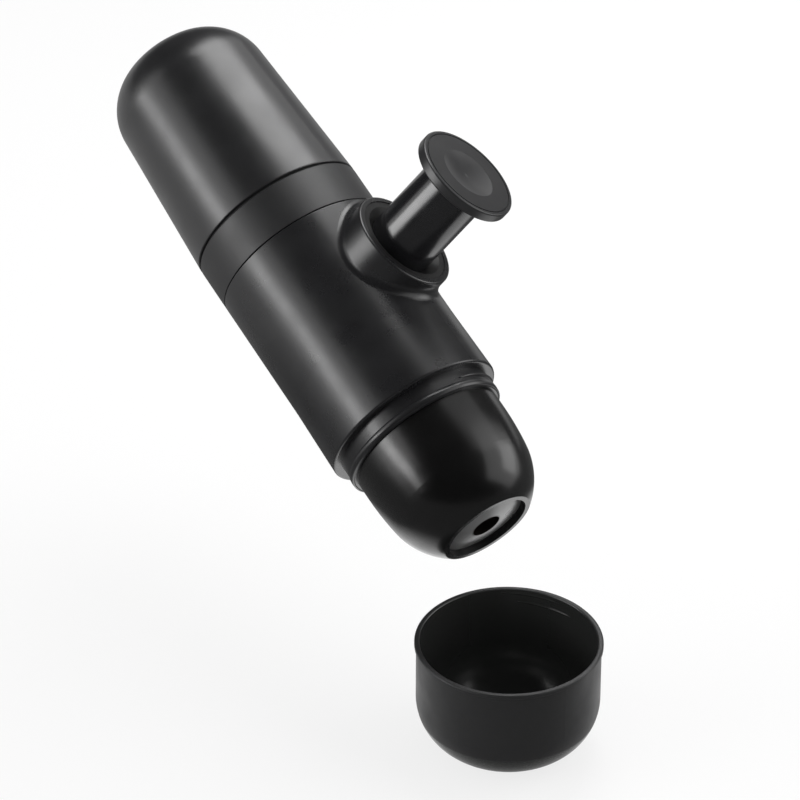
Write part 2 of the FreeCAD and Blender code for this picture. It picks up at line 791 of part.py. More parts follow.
def make_valve_block():
    """Pressure floor with the tower that holds both ball valves in one upright bore."""
    body = new_body("valve_block")
    turn_outline(body, [
        ("0", "screen_z"),
        ("screen_post", "screen_z"),
        ("screen_post", "block_z"),
        ("block_radius", "block_z"),
        ("block_radius", "block_z + (block_disc - block_notch) / 2"),
        ("block_radius - block_notch", "block_z + (block_disc - block_notch) / 2"),
        ("block_radius - block_notch", "block_z + (block_disc + block_notch) / 2"),
        ("block_radius", "block_z + (block_disc + block_notch) / 2"),
        ("block_radius", "block_top"),
        ("0", "block_top"),
    ])
    tower = new_sketch(body, "XY_Plane", "tower_outline", "block_top")
    draw_outline(tower, [
        ("-tower_back", "-tower_width / 2"),
        ("tower_face", "-tower_width / 2"),
        ("tower_face", "tower_width / 2"),
        ("-tower_back", "tower_width / 2"),
    ])
    extrude(body, tower, "deck_floor - block_top")

    bores = (
        ("inlet_cavity", "deck_floor", "valve_bore", "deck_floor - inlet_cavity_floor", False),
        ("outlet_cavity", "block_z", "valve_bore", "-outlet_cavity_roof - block_z", True),
        ("valve_passage", "inlet_cavity_floor", "port_radius",
         "inlet_cavity_floor + outlet_cavity_roof", False),
    )
    for name, level, radius, depth, upward in bores:
        bore = new_sketch(body, "XY_Plane", name, level)
        draw_circle(bore, "valve_x", "0", radius)
        extrude(body, bore, depth, cut=True, forward=upward)

    seats = (
        ("port_seal_seat", "nipple_radius + 2 * thin_seal_wire + slide_gap",
         "2 * thin_seal_wire + seat_gap"),
        ("nipple_seat", "nipple_radius + seat_gap", "nipple_length + seat_gap"),
        ("cross_port", "cross_port_radius", "tower_depth / 2"),
    )
    for name, radius, depth in seats:
        seat = new_sketch(body, "YZ_Plane", name, "tower_face")
        draw_circle(seat, "0", "0", radius)
        extrude(body, seat, depth, cut=True, forward=False)

    pilot = new_sketch(body, "YZ_Plane", "pump_screw_pilots", "tower_face")
    for across, up in FLANGE_CORNERS:
        draw_circle(pilot, across, up, "small_screw_radius + seat_gap")
    extrude(body, pilot, "small_screw_bite + seat_gap", cut=True, forward=False)

    post = new_sketch(body, "XY_Plane", "screen_screw_pilot", "screen_z")
    draw_circle(post, "0", "0", "screw_radius + seat_gap")
    extrude(body, post, "screw_bite", cut=True)

    hole = new_sketch(body, "XY_Plane", "block_disc_hole", "block_top")
    draw_circle(hole, *BLOCK_SCREW, "screw_radius + screw_gap")
    first = extrude(body, hole, "block_disc + overcut", cut=True, forward=False)
    repeat_round(body, [first], "Z_Axis", BLOCK_SCREWS, adds=False)
    return keep(body, POSE)


def make_block_screws():
    places = []
    for number in range(BLOCK_SCREWS):
        spin = Rotation(Vector(0, 0, 1), size("block_screw_start") + 360 * number / BLOCK_SCREWS)
        centre = spin.multVec(Vector(size("block_screw_circle"), 0, size("block_top")))
        places.append(Placement(centre, Rotation()))
    return screw_set("block_screws", places, "screw_radius", "screw_head_radius",
                     "screw_head_height", "block_disc + screw_bite")


def make_ball(label, level):
    ball = doc.addObject("Part::Sphere", label)
    ball.Label = label
    bind(ball, "Radius", "ball_radius")
    return keep(ball, at("valve_x", "0", level))


def make_valves():
    """Two spring-loaded ball valves: each ball closes upward against its seat."""
    turned_piece("inlet_seat", [
        ("port_radius", "inlet_seat_z"),
        ("valve_bore - seat_gap", "inlet_seat_z"),
        ("valve_bore - seat_gap", "deck_floor"),
        ("port_radius", "deck_floor"),
    ], place=at("valve_x"))
    make_ball("inlet_ball", "inlet_ball_z")
    coil_spring("inlet_spring", "valve_spring_radius", "valve_spring_wire",
                "inlet_ball_z - ball_radius - inlet_cavity_floor", "valve_spring_turns",
                at("valve_x", "0", "inlet_cavity_floor"))
    make_ball("outlet_ball", "outlet_ball_z")
    coil_spring("outlet_spring", "valve_spring_radius", "valve_spring_wire",
                "outlet_ball_z - ball_radius - outlet_plug_z", "valve_spring_turns",
                at("valve_x", "0", "outlet_plug_z"))
    turned_piece("outlet_plug", [
        ("plug_bore", "block_z"),
        ("valve_bore - seat_gap", "block_z"),
        ("valve_bore - seat_gap", "outlet_plug_z"),
        ("plug_bore", "outlet_plug_z"),
    ], place=at("valve_x"))


# ================================================================================== the pump

def make_pump_cylinder():
    """Pump barrel with its nipple and flange at the tower, and bayonet lugs at its mouth."""
    body = new_body("pump_cylinder")
    turn_outline(body, [
        ("tower_face - nipple_length", "port_radius"),
        ("tower_face - nipple_length", "nipple_radius"),
        ("tower_face", "nipple_radius"),
        ("tower_face", "pump_radius"),
        ("pump_front", "pump_radius"),
        ("pump_front", "bore_radius"),
        ("pump_floor", "bore_radius"),
        ("pump_floor", "port_radius"),
    ], about_x=True)

    flange = new_sketch(body, "YZ_Plane", "flange_outline", "tower_face")
    draw_outline(flange, [
        ("-flange_width / 2", "-flange_height / 2"),
        ("flange_width / 2", "-flange_height / 2"),
        ("flange_width / 2", "flange_height / 2"),
        ("-flange_width / 2", "flange_height / 2"),
    ])
    draw_circle(flange, "0", "0", "bore_radius + pump_wall / 2")
    extrude(body, flange, "flange_thickness")

    heads = new_sketch(body, "YZ_Plane", "flange_head_seats", "foot_face")
    holes = new_sketch(body, "YZ_Plane", "flange_screw_holes", "foot_face")
    for across, up in FLANGE_CORNERS:
        draw_circle(heads, across, up, "small_head_radius + seat_gap")
        draw_circle(holes, across, up, "small_screw_radius + seat_gap")
    extrude(body, heads, "small_head_height", cut=True, forward=False)
    extrude(body, holes, "flange_thickness + seat_gap", cut=True, forward=False)

    lug = new_sketch(body, "YZ_Plane", "lug_outline", "lug_x")
    draw_sector(lug, "bore_radius + pump_wall / 2", "pump_radius + lug_height",
                "-lug_angle / 2", "lug_angle / 2")
    first = extrude(body, lug, "lug_length")
    repeat_round(body, [first], "X_Axis", BAYONET_LUGS, adds=True)
    return keep(body, POSE)


def make_pump_screws():
    places = []
    for across, up in FLANGE_CORNERS:
        seat = Vector(size("foot_face - small_head_height"), size(across), size(up))
        places.append(Placement(seat, ALONG_X))
    return screw_set("pump_screws", places, "small_screw_radius", "small_head_radius",
                     "small_head_height - seat_gap", "small_screw_bite")


def make_gland_cap():
    """Threaded cap in the pump's mouth: it guides the rod and stops the piston."""
    return turned_piece("gland_cap", [
        ("gland_x", "rod_radius + running_gap"),
        ("gland_x", "bore_radius - seat_gap"),
        ("pump_front", "bore_radius - seat_gap"),
        ("pump_front", "pump_radius"),
        ("pump_tip", "pump_radius"),
        ("pump_tip", "rod_radius + running_gap"),
    ], about_x=True)


def make_piston():
    turned_piece("piston_head", [
        ("piston_back", "0"),
        ("piston_back", "piston_radius"),
        ("seal_x - piston_groove / 2", "piston_radius"),
        ("seal_x - piston_groove / 2", "piston_groove_radius"),
        ("seal_x + piston_groove / 2", "piston_groove_radius"),
        ("seal_x + piston_groove / 2", "piston_radius"),
        ("piston_front", "piston_radius"),
        ("piston_front", "rod_radius"),
        ("piston_front - rod_bite", "rod_radius"),
        ("piston_front - rod_bite", "0"),
    ], about_x=True)
    o_ring("piston_seal", "piston_seal_radius", "seal_wire", at("seal_x", turn=ALONG_X))
    turned_piece("piston_rod", [
        ("piston_front - rod_bite", "0"),
        ("piston_front - rod_bite", "rod_radius"),
        ("rod_head_x", "rod_radius"),
        ("rod_head_x", "rod_head_radius"),
        ("rod_head_end", "rod_head_radius"),
        ("rod_head_end", "0"),
    ], about_x=True)


def make_sleeve():
    """Glossy sleeve that telescopes over the pump. Inside run two J-slots: the lugs travel
    along them on the stroke and turn into a pocket at either end to lock the piston."""
    body = new_body("piston_sleeve")
    turn_outline(body, [
        ("sleeve_start", "sleeve_bore"),
        ("sleeve_start", "sleeve_radius - seam_round"),
        ("sleeve_start + seam_round", "sleeve_radius"),
        ("knob_back", "sleeve_radius"),
        ("knob_back", "sleeve_bore"),
    ], about_x=True)
    root = "sleeve_bore - seat_gap"
    edge = "(lug_angle / 2 + lug_side_angle)"
    slot = new_sketch(body, "YZ_Plane", "lug_slot", "sleeve_start - overcut")
    draw_sector(slot, root, "slot_radius", f"-{edge}", edge)
    cuts = [extrude(body, slot, "pump_front + stroke + lock_play - sleeve_start + overcut",
                    cut=True)]
    for name, reach in (("parking_pocket", "0"), ("locking_pocket", "stroke")):
        pocket = new_sketch(body, "YZ_Plane", name, f"lug_x - lock_play + {reach}")
        draw_sector(pocket, root, "slot_radius", f"-(lock_turn + {edge})", edge)
        cuts.append(extrude(body, pocket, "lug_length + 2 * lock_play", cut=True))
    repeat_round(body, cuts, "X_Axis", BAYONET_LUGS, adds=False)
    return keep(body, POSE)


def make_knob():
    """Round push knob: a fine groove inside its rim, a thumb dimple, and a hub for the sleeve."""
    turned_piece("piston_knob", [
        ("hub_x", "knob_socket_radius"),
        ("hub_x", "hub_radius"),
        ("knob_back", "hub_radius"),
        ("knob_back", "knob_radius - knob_round"),
        ("knob_back + knob_round", "knob_radius", "knob_round", -1),
        ("knob_front - knob_round", "knob_radius"),
        ("knob_front", "knob_radius - knob_round", "knob_round", -1),
        ("knob_front", "knob_face_radius"),
        ("knob_front - knob_groove", "knob_face_radius"),
        ("knob_front - knob_groove", "knob_face_radius - knob_groove"),
        ("knob_front", "knob_face_radius - knob_groove"),
        ("knob_front", "dimple_radius"),
        ("knob_front - dimple_depth", "0", "dimple_sphere", 1),
        ("socket_x", "0"),
        ("socket_x", "knob_socket_radius"),
    ], about_x=True)
    turned_piece("rod_retainer", [
        ("hub_x", "rod_radius + slide_gap"),
        ("hub_x", "knob_socket_radius - seat_gap"),
        ("hub_x + retainer_thickness", "knob_socket_radius - seat_gap"),
        ("hub_x + retainer_thickness", "rod_radius + slide_gap"),
    ], about_x=True)


# ============================================================================ the water tank

def make_tank():
    """Tapered cup-like shell, upside down on the collar, with a rounded corner and flat end."""
    turned_piece("water_tank", [
        ("mouth_radius", "tank_base"),
        ("barrel_radius - tank_lip_round", "tank_base"),
        ("barrel_radius - tank_lip_round * tan(tank_taper)", "tank_base + tank_lip_round",
         "tank_lip_round", 1),
        ("corner_start_r", "corner_start_z"),
        ("end_radius", "tank_end", "tank_corner", 1),
        ("0", "tank_end"),
        ("0", "tank_end - tank_wall"),
        ("end_radius", "tank_end - tank_wall"),
        ("inner_start_r", "inner_start_z", "inner_corner", -1),
        ("mouth_shell_r", "mouth_top"),
        ("mouth_radius", "mouth_top"),
    ])
    turned_piece("tank_seal", [
        ("mouth_radius", "collar_top"),
        ("barrel_radius - tank_seal_inset", "collar_top"),
        ("barrel_radius - tank_seal_inset", "tank_base"),
        ("mouth_radius", "tank_base"),
    ])


# ========================================================================== the brewing side

def perforate(body, level, depth, outermost, rings):
    """Evenly spaced rings of round holes, six more in each ring outward."""
    for ring in rings:
        hole = new_sketch(body, "XY_Plane", f"{body.Label}_ring_{ring}", level)
        draw_circle(hole, f"({outermost}) * {ring} / {rings[-1]}", "0", "basket_hole")
        first = extrude(body, hole, depth, cut=True)
        repeat_round(body, [first], "Z_Axis", HOLES_IN_FIRST_RING * ring, adds=False)


def make_basket():
    """Pressed steel coffee basket: flange, straight wall and perforated floor."""
    body = new_body("filter_basket")
    turn_outline(body, [
        ("basket_radius - basket_wall", "gasket_low"),
        ("spigot_radius", "gasket_low"),
        ("spigot_radius", "basket_top"),
        ("basket_radius", "basket_top"),
        ("basket_radius", "basket_floor + basket_corner"),
        ("basket_radius - basket_corner", "basket_floor", "basket_corner", -1),
        ("0", "basket_floor"),
        ("0", "basket_floor + basket_wall"),
        ("basket_radius - basket_corner", "basket_floor + basket_wall"),
        ("basket_radius - basket_wall", "basket_floor + basket_corner",
         "basket_corner - basket_wall", 1),
    ])
    perforate(body, "basket_floor - overcut", "basket_wall + 2 * overcut",
              "basket_radius - basket_blank_edge", BASKET_RINGS)
    return keep(body, POSE)


def make_shower():
    """Perforated screen that spreads the water over the coffee, on its post and screw."""
    body = new_body("shower_screen")
    turn_outline(body, [
        ("screw_radius + seat_gap", "screen_z - screen_thickness"),
        ("throat_radius - seat_gap", "screen_z - screen_thickness"),
        ("throat_radius - seat_gap", "screen_z"),
        ("screw_radius + seat_gap", "screen_z"),
    ])
    perforate(body, "screen_z - screen_thickness - overcut",
              "screen_thickness + 2 * overcut", "throat_radius - screen_blank_edge", SCREEN_RINGS)
    keep(body, POSE)
    fastener = screw("shower_screw", "screw_radius", "screw_head_radius", "screw_head_height",
                     "screen_thickness + screw_bite - seat_gap")
    keep(fastener, at(z="screen_z - screen_thickness", turn=UPSIDE_DOWN))


def make_gasket():
    return turned_piece("basket_gasket", [
        ("basket_radius", "gasket_low"),
        ("head_bore - seat_gap", "gasket_low"),
        ("head_bore - seat_gap", "gasket_z"),
        ("basket_radius", "gasket_z"),
    ])


def make_outlet_head():
    """Screw-in head: long spigot under the basket's flange, bowed side, dome and lip."""
    return turned_piece("outlet_head", [
        ("head_spigot_bore", "basket_top"),
        ("spigot_radius", "basket_top"),
        ("spigot_radius", "neck_z - seat_gap"),
        ("head_radius", "neck_z - seat_gap"),
        ("head_radius", "head_z"),
        ("bow_r", "bow_z", "head_side_radius", -1),
        ("lip_radius", "lip_z", "head_dome_radius", -1),
        ("face_radius", "lip_z"),
        ("face_radius", "ledge_z"),
        ("ledge_radius", "ledge_z"),
        ("ledge_radius", "head_floor"),
        ("floor_radius", "head_floor"),
        ("inner_side_r", "inner_side_z", "dome_inner", 1),
        ("head_spigot_bore", "head_z"),
    ])


def make_nozzle():
    """Pale domed face plate with the spout, pressed into the lip, and the crema valve over it."""
    turned_piece("nozzle_plate", [
        ("nozzle_bore", "nozzle_low"),
        ("nozzle_rim", "face_z", "nozzle_dome_radius", 1),
        ("nozzle_rim", "ledge_z"),
        ("nozzle_tube", "ledge_z"),
        ("nozzle_tube", "nozzle_top"),
        ("nozzle_bore", "nozzle_top"),
    ])
    turned_piece("crema_valve", [
        ("air_bore", "nozzle_top"),
        ("nozzle_tube", "nozzle_top"),
        ("nozzle_tube", "nozzle_top + crema_valve_thickness"),
        ("air_bore", "nozzle_top + crema_valve_thickness"),
    ])


def make_cup():
    """Drinking cup, which is also the travel cap: round-bottomed, with a beaded rim."""
    return turned_piece("cup", [
        ("0", "0"),
        ("cup_base_radius", "0"),
        ("cup_radius", "cup_corner", "cup_corner", 1),
        ("cup_radius", "cup_bead_z - cup_bead_round"),
        ("cup_bead_radius", "cup_bead_z"),
        ("cup_bead_radius", "cup_height - cup_bead_round"),
        ("cup_bead_radius - cup_bead_round", "cup_height", "cup_bead_round", 1),
        ("cup_inner + cup_bead_round", "cup_height"),
        ("cup_inner", "cup_height - cup_bead_round", "cup_bead_round", 1),
        ("cup_inner", "cup_corner"),
        ("cup_base_radius", "cup_wall", "cup_inner_corner", -1),
        ("0", "cup_wall"),
    ], place=CUP_PLACE)


# ================================================================================== assembly

make_main_body()
make_guide_ring()
o_ring("wiper_seal", "wiper_radius", "wiper_wire", at("wiper_x", turn=ALONG_X))
make_collar()
make_deck()
o_ring("deck_seal", "socket_radius - seat_gap - seal_notch / 2", "seal_wire",
       at(z="deck_top - seal_notch / 2"))
make_strainer()
make_air_valve()
make_valve_block()
o_ring("block_seal", "block_radius - block_notch / 2", "thin_seal_wire",
       at(z="block_z + block_disc / 2"))
make_block_screws()
make_valves()
make_pump_cylinder()
o_ring("port_seal", "nipple_radius + thin_seal_wire + seat_gap", "thin_seal_wire",
       at("tower_face - thin_seal_wire - seat_gap / 2", turn=ALONG_X))
make_pump_screws()
make_gland_cap()
coil_spring("return_spring", "spring_radius", "spring_wire",
            "piston_back - pump_floor", "spring_turns", at("pump_floor", turn=ALONG_X))
make_piston()
make_sleeve()
make_knob()
make_tank()
make_gasket()
make_shower()
make_basket()
make_outlet_head()
make_nozzle()
make_cup()

doc.recompute()

# ==================================================================== check, then write files

for item in doc.Objects:
    if "Invalid" in item.State or "Error" in item.State:
        raise RuntimeError(f"{item.Label} failed: {item.State}")
for node in nodes:
    if node.Shape.isNull() or not node.Shape.isValid():
        raise RuntimeError(f"{node.Label} has no valid shape")
for node in nodes:
    node.Shape.exportStep(f"parts/{node.Label}.step")
    print(f"{node.Label:16s} {len(node.Shape.Solids)} solid(s) {node.Shape.Volume:10.1f} mm3")
print(len(nodes), "nodes; cup stands at z =", round(CUP_PLACE.Base.z, 3))
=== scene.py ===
import math
import bmesh
import bpy
from mathutils import Matrix, Vector


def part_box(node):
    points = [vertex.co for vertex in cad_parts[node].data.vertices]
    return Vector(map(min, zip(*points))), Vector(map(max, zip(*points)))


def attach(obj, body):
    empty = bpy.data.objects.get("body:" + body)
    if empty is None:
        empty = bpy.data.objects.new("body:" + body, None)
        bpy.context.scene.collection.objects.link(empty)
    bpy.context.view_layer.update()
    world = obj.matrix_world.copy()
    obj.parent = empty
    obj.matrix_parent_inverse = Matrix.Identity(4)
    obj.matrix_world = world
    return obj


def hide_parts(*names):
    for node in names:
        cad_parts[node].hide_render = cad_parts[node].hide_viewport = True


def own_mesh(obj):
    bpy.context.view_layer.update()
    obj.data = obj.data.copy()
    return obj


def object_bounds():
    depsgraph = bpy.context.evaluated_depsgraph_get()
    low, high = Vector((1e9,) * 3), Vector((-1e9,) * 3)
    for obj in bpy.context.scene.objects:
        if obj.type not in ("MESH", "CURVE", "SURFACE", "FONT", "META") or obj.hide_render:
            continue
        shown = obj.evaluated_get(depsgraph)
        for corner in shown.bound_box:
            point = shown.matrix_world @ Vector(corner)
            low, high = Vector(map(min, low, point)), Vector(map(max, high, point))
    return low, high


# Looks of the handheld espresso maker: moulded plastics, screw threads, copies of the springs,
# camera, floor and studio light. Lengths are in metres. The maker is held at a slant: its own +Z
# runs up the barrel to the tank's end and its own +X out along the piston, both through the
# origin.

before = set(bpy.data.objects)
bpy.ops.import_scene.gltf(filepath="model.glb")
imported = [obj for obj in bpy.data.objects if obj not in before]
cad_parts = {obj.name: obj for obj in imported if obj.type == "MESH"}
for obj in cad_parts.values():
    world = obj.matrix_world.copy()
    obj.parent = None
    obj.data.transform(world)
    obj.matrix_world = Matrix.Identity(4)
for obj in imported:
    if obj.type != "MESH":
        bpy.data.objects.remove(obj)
cad_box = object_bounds()

MM = 0.001

# ------------------------------------------------------------------------------ the held pose

NOSE_DIP = math.radians(27.0)
BARREL_ROLL = math.radians(27.5)
MAKER = (Matrix.Rotation(NOSE_DIP - math.pi / 2, 4, "Y")
         @ Matrix.Rotation(BARREL_ROLL, 4, "Z"))


def towards(local):
    """A direction given in the maker's own axes, as a direction of the scene."""
    return (MAKER.to_3x3() @ Vector(local)).normalized()


BARREL_AXIS = towards((0, 0, 1))


# ------------------------------------------------------------------------------- shader parts

def feed(tree, socket, source):
    """Give a socket what it needs: another socket's output, or a constant."""
    if isinstance(source, bpy.types.NodeSocket):
        tree.links.new(source, socket)
    else:
        socket.default_value = source


def noise(tree, place, size, detail=2.0, roughness=0.5):
    """Noise whose features are about the given size in metres."""
    node = tree.nodes.new("ShaderNodeTexNoise")
    node.inputs["Scale"].default_value = 1 / size
    node.inputs["Detail"].default_value = detail
    node.inputs["Roughness"].default_value = roughness
    tree.links.new(place, node.inputs["Vector"])
    return node.outputs["Fac"]


def spread(tree, value, low, high, source=(0.35, 0.65)):
    """Map a value, by default noise, from its source range to the range from low to high."""
    node = tree.nodes.new("ShaderNodeMapRange")
    node.inputs["From Min"].default_value = source[0]
    node.inputs["From Max"].default_value = source[1]
    node.inputs["To Min"].default_value = low
    node.inputs["To Max"].default_value = high
    tree.links.new(value, node.inputs["Value"])
    return node.outputs["Result"]


def vector_math(tree, operation, value, other=None):
    """One step of vector arithmetic, whose result is a number for a length or a dot product."""
    node = tree.nodes.new("ShaderNodeVectorMath")
    node.operation = operation
    tree.links.new(value, node.inputs[0])
    if other is not None:
        node.inputs[1].default_value = other
    return node.outputs["Value" if operation in ("LENGTH", "DOT_PRODUCT") else "Vector"]


def multiply_add(tree, first, second, third):
    """The first number times the second, plus the third."""
    node = tree.nodes.new("ShaderNodeMath")
    node.operation = "MULTIPLY_ADD"
    for socket, source in zip(node.inputs, (first, second, third)):
        feed(tree, socket, source)
    return node.outputs["Value"]


def blend(tree, factor, first, second, data_type="FLOAT"):
    """A number, or a colour for data type RGBA, that goes from the first to the second."""
    node = tree.nodes.new("ShaderNodeMix")
    node.data_type = data_type
    feed(tree, node.inputs["Factor"], factor)
    feed(tree, node.inputs["A"], first)
    feed(tree, node.inputs["B"], second)
    return node.outputs["Result"]


def two_tone(tree, factor, first, second):
    """A colour that goes from the first to the second of two plain colours."""
    return blend(tree, factor, (*first, 1), (*second, 1), data_type="RGBA")


def grain_bump(tree, shader, height, depth, strength):
    """Relief of the given depth in metres."""
    node = tree.nodes.new("ShaderNodeBump")
    node.inputs["Strength"].default_value = strength
    node.inputs["Distance"].default_value = depth
    tree.links.new(height, node.inputs["Height"])
    tree.links.new(node.outputs["Normal"], shader.inputs["Normal"])


def new_material(name):
    """A node material with a principled shader, and the object's own coordinates."""
    material = bpy.data.materials.new(name)
    material.use_nodes = True
    tree = material.node_tree
    place = tree.nodes.new("ShaderNodeTexCoord")
    return material, tree, tree.nodes["Principled BSDF"], place.outputs["Object"]


# ---------------------------------------------------------------------------------- materials

CLOUD_SIZE = 9 * MM
SMUDGE_SIZE = 14 * MM
CUP_SMUDGE_SIZE = 12 * MM
BLOOM_SIZE = 4 * MM
RUBBER_GRAIN = 0.2 * MM
STEEL_LINES = 0.3 * MM


def plastic(name, colour, roughness, specular=0.5, grain=0.4 * MM, grain_depth=0.003 * MM,
            handling=0.03):
    """Moulded plastic: fine grain in its surface, and a sheen that handling has made uneven."""
    material, tree, shader, place = new_material(name)
    shader.inputs["Specular IOR Level"].default_value = specular
    lighter = [channel * 1.25 for channel in colour]
    cloud = noise(tree, place, CLOUD_SIZE, detail=3.0)
    tree.links.new(two_tone(tree, spread(tree, cloud, 0.0, 1.0), colour, lighter),
                   shader.inputs["Base Color"])
    smudge = noise(tree, place, SMUDGE_SIZE, detail=4.0, roughness=0.6)
    tree.links.new(spread(tree, smudge, roughness - handling, roughness + handling),
                   shader.inputs["Roughness"])
    grain_bump(tree, shader, noise(tree, place, grain), grain_depth, strength=0.6)
    return material


def steel(name, colour, roughness, brushed_along):
    """Bright steel with fine lines left by drawing or turning."""
    material, tree, shader, place = new_material(name)
    shader.inputs["Metallic"].default_value = 1.0
    stretch = tree.nodes.new("ShaderNodeMapping")
    stretch.inputs["Scale"].default_value = brushed_along
    tree.links.new(place, stretch.inputs["Vector"])
    lines = noise(tree, stretch.outputs["Vector"], STEEL_LINES, detail=4.0)
    darker = [channel * 0.8 for channel in colour]
    tree.links.new(two_tone(tree, lines, darker, colour), shader.inputs["Base Color"])
    tree.links.new(spread(tree, lines, roughness * 0.8, roughness * 1.3),
                   shader.inputs["Roughness"])
    grain_bump(tree, shader, lines, 0.01 * MM, strength=0.5)
    return material


def rubber(name, colour, roughness):
    """Soft seal material: matte, with a faint bloom."""
    material, tree, shader, place = new_material(name)
    bloom = noise(tree, place, BLOOM_SIZE, detail=4.0)
    pale = [channel * 1.6 + 0.002 for channel in colour]
    tree.links.new(two_tone(tree, spread(tree, bloom, 0.0, 1.0), colour, pale),
                   shader.inputs["Base Color"])
    tree.links.new(spread(tree, bloom, roughness - 0.08, roughness + 0.08),
                   shader.inputs["Roughness"])
    grain_bump(tree, shader, noise(tree, place, RUBBER_GRAIN), 0.02 * MM, strength=0.4)
    return material


def face_plastic(spout_radius):
    """Pale plastic of the outlet's face, with painted shade inside the spout: a near-black colour
    tinted brown.
    """
    material = plastic("face_grey", (0.12, 0.12, 0.12), roughness=0.30, specular=0.8)
    tree = material.node_tree
    colour_socket = tree.nodes["Principled BSDF"].inputs["Base Color"]
    place = tree.nodes.new("ShaderNodeTexCoord").outputs["Object"]
    reach = vector_math(tree, "LENGTH",
                        vector_math(tree, "CROSS_PRODUCT", place, BARREL_AXIS))
    # Painted shade: within the spout's radius the face is coloured near black.
    spout_shade = spread(tree, reach, 1.0, 0.0,
                   source=(spout_radius + 0.1 * MM, spout_radius + 0.6 * MM))
    bare = colour_socket.links[0].from_socket
    tree.links.new(blend(tree, spout_shade, bare, (0.006, 0.004, 0.003, 1), data_type="RGBA"),
                   colour_socket)
    return material


def cup_plastic(cup_axis, inner_radius):
    """Cup plastic: a matte, grained outside and a glossy moulded inside, whose lighter colour is
    painted light on the inner wall.
    """
    material, tree, shader, place = new_material("cup_black")
    shader.inputs["Specular IOR Level"].default_value = 0.8
    from_axis = vector_math(tree, "SUBTRACT", place, cup_axis)
    reach = vector_math(tree, "LENGTH", vector_math(tree, "MULTIPLY", from_axis, (1, 1, 0)))
    outside = spread(tree, reach, 0.0, 1.0, source=(inner_radius, inner_radius + 0.4 * MM))
    # Painted light: the inside is coloured lighter than the outside.
    tree.links.new(two_tone(tree, outside, (0.026, 0.027, 0.026), (0.017, 0.017, 0.018)),
                   shader.inputs["Base Color"])
    smudge = noise(tree, place, CUP_SMUDGE_SIZE, detail=4.0, roughness=0.6)
    tree.links.new(blend(tree, outside, 0.22, spread(tree, smudge, 0.50, 0.60)),
                   shader.inputs["Roughness"])
    grain_bump(tree, shader, noise(tree, place, 0.4 * MM), 0.012 * MM, strength=0.5)
    return material


cup_low, cup_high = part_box("cup")
CUP_AXIS = (cup_low + cup_high) / 2
CUP_RIM = cup_high.z
CUP_INNER = 28.5 * MM
SPOUT_RADIUS = 4.9 * MM
SHELL_BLACK = (0.012, 0.012, 0.013)

satin_black = plastic("satin_black", SHELL_BLACK, roughness=0.29, specular=0.70)
tank_black = plastic("tank_black", SHELL_BLACK, roughness=0.33, specular=0.80)
collar_black = plastic("collar_black", SHELL_BLACK, roughness=0.45, specular=0.70,
                       grain=0.6 * MM, grain_depth=0.03 * MM)
gloss_black = plastic("gloss_black", (0.009, 0.009, 0.010), roughness=0.19, specular=0.80,
                      grain_depth=0.002 * MM, handling=0.02)
head_black = plastic("head_black", (0.0045, 0.0045, 0.0045), roughness=0.22, specular=0.72)
knob_black = plastic("knob_black", (0.021, 0.021, 0.022), roughness=0.34, specular=0.6)
ring_black = plastic("ring_black", (0.008, 0.008, 0.008), roughness=0.50, specular=0.4)
inner_grey = plastic("inner_grey", (0.16, 0.16, 0.17), roughness=0.45)
seal_black = rubber("seal_black", (0.006, 0.006, 0.006), roughness=0.7)
silicone_grey = rubber("silicone_grey", (0.28, 0.28, 0.29), roughness=0.55)
sheet_steel = steel("sheet_steel", (0.62, 0.61, 0.60), roughness=0.28,
                    brushed_along=(1.0, 1.0, 12.0))
bright_steel = steel("bright_steel", (0.66, 0.66, 0.66), roughness=0.18,
                     brushed_along=(1.0, 1.0, 1.0))
cup_black = cup_plastic(CUP_AXIS, CUP_INNER)
face_grey = face_plastic(SPOUT_RADIUS)

FINISHES = {
    "main_body": satin_black,
    "guide_ring": ring_black,
    "tank_collar": collar_black,
    "water_tank": tank_black,
    "outlet_head": head_black,
    "nozzle_plate": face_grey,
    "piston_sleeve": gloss_black,
    "piston_knob": knob_black,
    "cup": cup_black,
    **dict.fromkeys(("intake_deck", "intake_strainer", "valve_block", "inlet_seat",
                     "outlet_plug", "pump_cylinder", "gland_cap", "piston_head"), inner_grey),
    **dict.fromkeys(("wiper_seal", "deck_seal", "block_seal", "port_seal", "piston_seal",
                     "tank_seal", "crema_valve"), seal_black),
    **dict.fromkeys(("air_valve", "basket_gasket"), silicone_grey),
    **dict.fromkeys(("filter_basket", "shower_screen"), sheet_steel),
}

for name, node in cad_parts.items():
    for slot in node.material_slots:
        slot.material = FINISHES.get(name, bright_steel)


# ------------------------------------------------------------------------------ screw threads

RIDGE_STEP = math.radians(3.0)
RIDGE_FADE = math.radians(14.0)
RIDGE_SUNK = 0.1 * MM
SHOULDER_SHARE = 0.8
END_WIDTH_SHARE = 0.35


def ridge_section(width, height, crest):
    """Rounded thread form: across the ridge, then out of the wall it stands on."""
    foot = width / 2
    shoulder = width * crest / 2
    rise = height * SHOULDER_SHARE
    return [(-foot, -RIDGE_SUNK), (-foot, 0.0), (-shoulder, rise), (0.0, height),
            (shoulder, rise), (foot, 0.0), (foot, -RIDGE_SUNK)]


def ridge_row(mesh, place, section, radius, angle, along, size, outward):
    """The ridge's section at one angle round the wall, shrunk to the given size."""
    corners = []
    for across, out in section:
        reach = radius + outward * (out * size if out > 0 else out)
        level = along + across * (END_WIDTH_SHARE + (1 - END_WIDTH_SHARE) * size)
        point = Vector((reach * math.cos(angle), reach * math.sin(angle), level))
        corners.append(mesh.verts.new(place @ point))
    return corners


